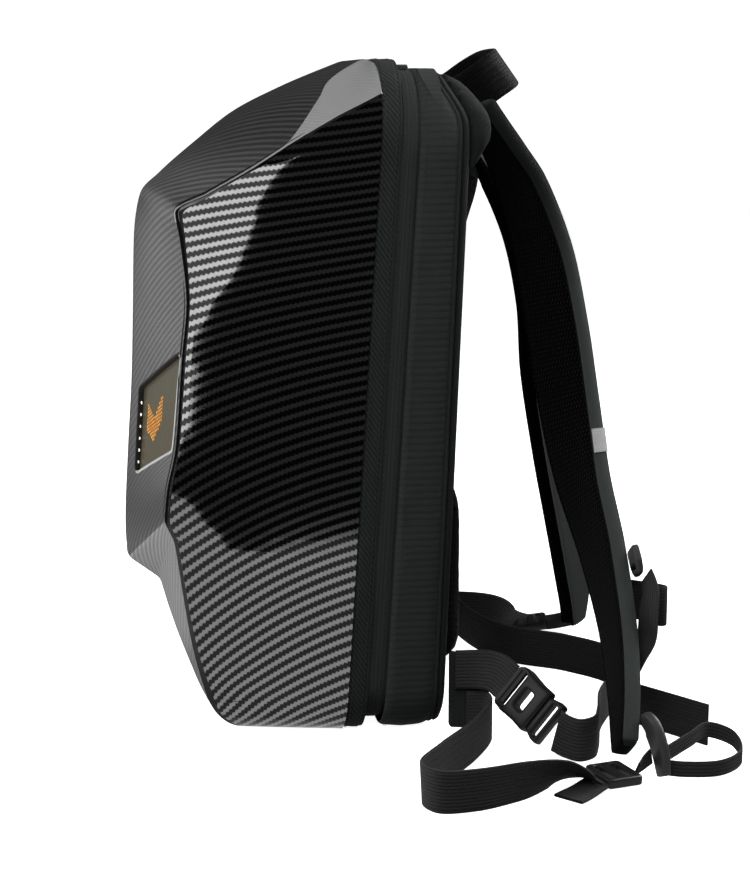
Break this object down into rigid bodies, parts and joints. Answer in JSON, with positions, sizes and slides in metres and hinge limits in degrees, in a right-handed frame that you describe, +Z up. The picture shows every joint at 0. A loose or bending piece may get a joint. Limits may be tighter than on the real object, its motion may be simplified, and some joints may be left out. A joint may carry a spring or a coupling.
{
  "type": "hard-shell backpack",
  "caption": "Black hard-shell rider's backpack: glossy carbon-look face with slanted screen windows, zipped cloth body, padded back and a harness of straps, webbing and buckles.",
  "frame": {"origin": "middle of the shell's flat base, on the floor the bag stands on", "axes": "+Z up, -Y the way the shell faces, +Y towards the wearer, +X the wearer's right side"},
  "size_m": [0.4647, 0.4037, 0.486],
  "materials": {
    "carbon": "glossy twill weave",
    "screen": "satin",
    "twill": "matt",
    "cloth": "matt",
    "zip": "satin",
    "metal": "satin",
    "mesh": "matt",
    "webbing": "matt",
    "plastic": "satin",
    "grey_plastic": "satin",
    "reflective": "satin"
  },
  "bodies": {
    "root": {"shell": "carbon", "screen_right": "screen", "screen_left": "screen", "rim_tape": "twill", "zip_band": "cloth", "zip_teeth": "zip", "rear_gusset": "cloth", "back_panel": "cloth", "upper_pad_right": "mesh", "upper_pad_left": "mesh", "lumbar_pad": "mesh", "yoke": "cloth", "shoulder_strap_right": "mesh", "shoulder_strap_left": "mesh", "grab_handle": "webbing", "reflective_tab_right": "reflective", "reflective_tab_left": "reflective", "wing_right": "cloth", "wing_left": "cloth", "adjuster_right": "webbing", "adjuster_left": "webbing", "ladder_lock_right": "plastic", "ladder_lock_left": "plastic", "adjuster_tab_right": "webbing", "belt_right": "webbing", "belt_left": "webbing", "belt_tail": "webbing", "buckle_socket": "plastic", "buckle_tongue": "plastic", "chest_slider": "grey_plastic", "chest_webbing": "webbing", "chest_loop": "webbing", "tail_link": "webbing", "cam_lever": "grey_plastic", "tail_loop": "webbing", "zip_slider": "metal", "zip_pull": "metal"}
  },
  "joints": []
}
